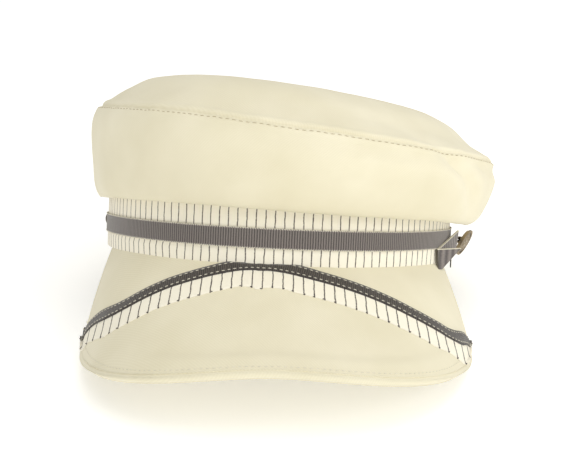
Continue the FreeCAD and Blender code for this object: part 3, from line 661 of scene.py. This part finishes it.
def drop_on(tree, flat):
    """The point of a surface straight under a point of the plan, tried beside it where a gap is."""
    for step in ((0, 0), (0, -0.5), (0, 0.5), (0.5, 0), (-0.5, 0), (0, -1), (0, 1), (1, 0), (-1, 0)):
        point, normal, _, _ = tree.ray_cast(Vector((flat.x + step[0], flat.y + step[1], 60)),
                                            Vector((0, 0, -1)))
        if point and normal.z > 0.3:
            return Vector((flat.x, flat.y, point.z)), normal
    return None


RIBBON_SOLID = surface_of(("hat_ribbon",), SQUARE)
COVER_SOLIDS = surface_of(("peak_rear_cover", "peak_stripe_panel", "peak_front_cover",
                           "peak_edge_binding"), LEVEL)
bm = bmesh.new()
for height, side in ((RIBBON_LOW, -1), (RIBBON_LOW + RIBBON_WIDTH, 1)):
    stitch_row(bm, ribbon_edge(height, side), 1.5, 0.8, 0.45)
finish_piece("ribbon_loops", bm, PALE_THREAD, "cap", SQUARE)
print("rim at the front:", [round(value, 1) for value in rim_point(0, 0)])


# %% The peak's upper cloth
def make_peak_cloth():
    bm = bmesh.new()
    bmesh.ops.create_grid(bm, x_segments=160, y_segments=60, size=1)
    lost = []
    for vert in bm.verts:
        turn, share = math.radians(85.5) * vert.co.x, (vert.co.y + 1) / 2
        root_turn = math.radians(64.3) * vert.co.x
        root = Vector((89.4 * math.sin(root_turn), -98.4 * math.cos(root_turn)))
        flat = root.lerp(rim_point(turn, 1.0), share)
        found = drop_on(COVER_SOLIDS, flat)
        inside = (1 - share) * (rim_point(turn, 1.0) - root).length + 1
        roll = 0.6 * swell(inside, 6.8, 2.6) - 0.3 * swell(inside, 11.5, 3) + 0.9 * math.exp(-share * 30)
        vert.co = found[0] + Vector((0, 0, roll)) if found else Vector((flat.x, flat.y, 0))
        if not found:
            lost.append(vert)
    for vert in lost:
        near = [edge.other_vert(vert) for edge in vert.link_edges]
        near = [other for other in near if other not in lost]
        if near:
            vert.co.z = sum(other.co.z for other in near) / len(near)
    for _ in range(3):
        bmesh.ops.smooth_vert(bm, verts=bm.verts, factor=0.5, use_axis_z=True)
    bmesh.ops.translate(bm, verts=bm.verts, vec=(0, 0, 0.12))
    if sum(face.normal.z for face in bm.faces) < 0:
        bmesh.ops.reverse_faces(bm, faces=bm.faces)
    bm.normal_update()
    tree = BVHTree.FromBMesh(bm)
    lay_map(bm, plan_place)
    piece = finish_piece("peak_top_cloth", bm, TWILL, "cap", LEVEL,
                         ("peak_rear_cover", "peak_front_cover"), keep_normals=True)
    give_wall(piece, 0.5)
    print("points with no solid under them:", len(lost))
    return tree


PEAK_TOP = make_peak_cloth()

# %% [markdown]
# The striped insert and the tape are strips laid along one wavy line across the peak. The tape's
# cords must cross it everywhere, so its map is measured along that line, while the insert keeps the
# plan, because its stripes all run to the front.
# %% Strips along the tape's line
TAPE_SHARES = (
    (-1.042, -0.543), (-0.976, -0.390), (-0.876, -0.190), (-0.715, 0.014), (-0.443, 0.037), (-0.089, 0.0),
    (0.244, 0.075), (0.510, 0.114), (0.665, 0.105), (0.783, 0.034), (0.876, -0.095), (0.976, -0.407),
    (1.042, -0.628),
)
TAPE_POINTS = [between(TAPE_SHARES, step / 24) for step in range(24 * (len(TAPE_SHARES) - 1) + 1)]
TAPE_POINTS = [Vector((PEAK_HALF_WIDTH * point.x, -(BAND_HALF_LENGTH + PEAK_REACH * point.y)))
               for point in TAPE_POINTS]
TAPE_RUN = [0.0]
for here, there in zip(TAPE_POINTS, TAPE_POINTS[1:]):
    TAPE_RUN.append(TAPE_RUN[-1] + (there - here).length)


def beside(index, offset):
    """The point of the plan beside the tape's line; a positive offset is towards the band."""
    low, high = max(index - 1, 0), min(index + 1, len(TAPE_POINTS) - 1)
    along = (TAPE_POINTS[high] - TAPE_POINTS[low]).normalized()
    across = Vector((-along.y, along.x))
    found = drop_on(PEAK_TOP, TAPE_POINTS[index]) or drop_on(PEAK_TOP, TAPE_POINTS[index] * 0.97)
    slope = found[1].to_2d().dot(across) / found[1].z if found else 1.0
    return TAPE_POINTS[index] + across * offset / math.hypot(1, slope)


def make_strip(name, material, rows, edges, lift, wall, replaced, own_map):
    """A strip between two offsets from the line; edges gives both offsets at a point of the line."""
    bm = bmesh.new()
    last = len(TAPE_POINTS) - 1
    bmesh.ops.create_grid(bm, x_segments=last, y_segments=rows, size=1)
    layer = bm.verts.layers.float_vector.new("strip")
    off_peak = []
    for vert in bm.verts:
        index, share = round((vert.co.x + 1) / 2 * last), (vert.co.y + 1) / 2
        near, far = edges(index)
        offset = far + (near - far) * share
        flat = beside(index, offset)
        found = drop_on(PEAK_TOP, flat)
        vert[layer] = Vector((TAPE_RUN[index], offset, 0)) if own_map else Vector((flat.x, flat.y, 0))
        if found:
            vert.co = found[0] + found[1] * lift
        else:
            off_peak.append(vert)
    bmesh.ops.delete(bm, geom=off_peak, context="VERTS")
    bmesh.ops.delete(bm, geom=[vert for vert in bm.verts if not vert.link_faces], context="VERTS")
    if sum(face.normal.z for face in bm.faces) < 0:
        bmesh.ops.reverse_faces(bm, faces=bm.faces)
    lay_map(bm, lambda vert, face: vert[layer].to_2d())
    piece = finish_piece(name, bm, material, "cap", LEVEL, replaced, keep_normals=True)
    give_wall(piece, wall)
    print(name, "faces:", len(piece.data.polygons))


def panel_edges(index):
    share = index / (len(TAPE_POINTS) - 1)
    return 1.0, -15.2 + 7.5 * (swell(share, 0.04, 0.13) + swell(share, 0.95, 0.1))


make_strip("peak_panel_cloth", PINSTRIPE, 12, panel_edges, 0.22, 0.2, ("peak_stripe_panel",), False)
def tape_edges(index):
    share = index / (len(TAPE_POINTS) - 1)
    half = TAPE_WIDTH / 2 * (1 - 0.4 * (swell(share, 0, 0.1) + swell(share, 1, 0.1)))
    return half, -half


make_strip("peak_tape_cloth", TAPE, 4, tape_edges, 0.75, 0.6, ("peak_tape",), True)


# %% [markdown]
# Both edges of the tape are sewn down in pale thread, and so is the peak's rim, where the upper and
# the lower cloth are turned together. The rim's row follows the rounded square of the outline, drawn
# a little smaller.
# %% Stitches on the peak
def peak_path(flats, lift):
    made = []
    for flat in flats:
        found = drop_on(PEAK_TOP, flat)
        if found:
            made.append((found[0] + found[1] * lift, found[1]))
    return made


bm = bmesh.new()
for offset in (-2.3, 2.3):
    stitch_row(bm, peak_path([beside(index, offset) for index in range(24, len(TAPE_POINTS) - 24)], 0.78),
               2.5, 1.6, 0.4)
finish_piece("tape_stitches", bm, PALE_THREAD, "cap", LEVEL)
bm = bmesh.new()
stitch_row(bm, peak_path([rim_point(math.radians(-84 + step), 2.6) for step in range(169)], 0.05), 2.4,
           1.6, 0.36)
finish_piece("rim_stitches", bm, PALE_THREAD, "cap", LEVEL)
print("tape length:", round(TAPE_RUN[-1]), "mm")

# %% [markdown]
# Each dark stripe of the insert ends in a small knot of thread, where the needle went down.
# %% Knots at the stripe ends
bm = bmesh.new()
for count in range(-19, 20):
    across = count * STRIPE_PITCH - 0.57
    index = min(range(len(TAPE_POINTS)),
                key=lambda number: abs(beside(number, panel_edges(number)[1] + 0.4).x - across))
    found = drop_on(PEAK_TOP, beside(index, panel_edges(index)[1] + 0.4))
    if found:
        place = Matrix.Translation(found[0] + found[1] * 0.25) @ Matrix.Diagonal((0.42, 0.55, 0.25, 1))
        bmesh.ops.create_uvsphere(bm, u_segments=8, v_segments=6, radius=1, matrix=place)
finish_piece("stripe_knots", bm, THREAD, "cap", LEVEL)

# %% [markdown]
# The ribbon's end is folded back on itself behind the button. Its solid has both folds' outlines,
# so it is dressed too, and the dark tail of tape that hangs behind it.
# %% The ribbon's folded end
def flap_place(vert, face):
    return vert.co.x * 0.62 - vert.co.y * 0.78, vert.co.z - RIBBON_MIDDLE + 0.6


dress("ribbon_end_fold", "ribbon_loop", RIBBON_FOLD, flap_place, SQUARE)
dress("ribbon_end_tail", "ribbon_tail", TAPE, flap_place, SQUARE)


# %% [markdown]
# The ribbon's own pale looped edge shows along the top of both folds. It is a row of small loops of
# thread, so it is made as closely set stitches along the long upper edges of the solid.
# %% Looped edges of the fold
def hem_paths(node, shortest):
    """The long edges of a solid's upward faces, each as a path of two points."""
    bm = copy_of(node, SQUARE)
    bmesh.ops.dissolve_limit(bm, angle_limit=0.02, verts=bm.verts, edges=bm.edges)
    paths = []
    for face in bm.faces:
        if face.normal.z > 0.35:
            for edge in face.edges:
                if edge.calc_length() > shortest:
                    paths.append([(vert.co.copy(), face.normal.copy()) for vert in edge.verts])
    bm.free()
    return paths


bm = bmesh.new()
for path in hem_paths("ribbon_loop", 6.0):
    stitch_row(bm, path, 0.75, 1.0, 0.55)
finish_piece("ribbon_end_hems", bm, PALE_THREAD, "cap", SQUARE)
print("hems:", len(hem_paths("ribbon_loop", 6.0)))


# %% [markdown]
# The button is stamped brass with a roped rim and a plain flower in the middle. The rope is a ring
# of leaning beads, and the flower is petals round a boss, all standing on the solid's own dome.
# %% The button's relief
def disc_frame(node):
    """The middle and the axis of a disc, from the way that most of its area faces."""
    mesh = frame["nodes"][node].data
    spread = Matrix.Diagonal((0, 0, 0))
    for face in mesh.polygons:
        spread += Matrix([face.normal * face.area * 1e6 * value for value in face.normal])
    axis = Vector((0.8, -0.6, 0.1))
    for _ in range(60):
        axis = (spread @ axis).normalized()
    low, high = (Vector(corner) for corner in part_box(node))
    return (low + high) / 2, axis if axis.y < 0 else -axis


def make_relief():
    middle, axis = disc_frame("button_face")
    turn = Matrix.Translation(middle) @ axis.to_track_quat("Z",
                                                           "Y").to_matrix().to_4x4() @ Matrix.Scale(MM, 4)
    tree = surface_of(("button_face",), turn)

    def raised(bm, radius, angle, size, yaw):
        spot = Vector((radius * math.cos(angle), radius * math.sin(angle), 9))
        point, normal, _, _ = tree.ray_cast(spot, Vector((0, 0, -1)))
        if point:
            place = Matrix.Translation(point - Vector((0, 0, size[2] * 0.3))) @ Matrix.Rotation(angle
                    + yaw, 4, "Z")
            bmesh.ops.create_uvsphere(bm, u_segments=10, v_segments=7, radius=1,
                                      matrix=place @ Matrix.Diagonal((*size, 1)))

    bm = bmesh.new()
    for bead in range(40):
        raised(bm, 6.75, bead * math.tau / 40, (0.72, 0.36, 0.42), 0.5)
    for petal in range(8):
        raised(bm, 2.7, petal * math.tau / 8, (1.5, 0.75, 0.42), 0)
        raised(bm, 4.3, (petal + 0.5) * math.tau / 8, (0.9, 0.4, 0.3), 0)
    raised(bm, 0.0, 0.0, (0.95, 0.95, 0.6), 0)
    finish_piece("button_relief", bm, BRASS, "button", turn)
    print("button axis:", [round(value, 3) for value in axis])


make_relief()
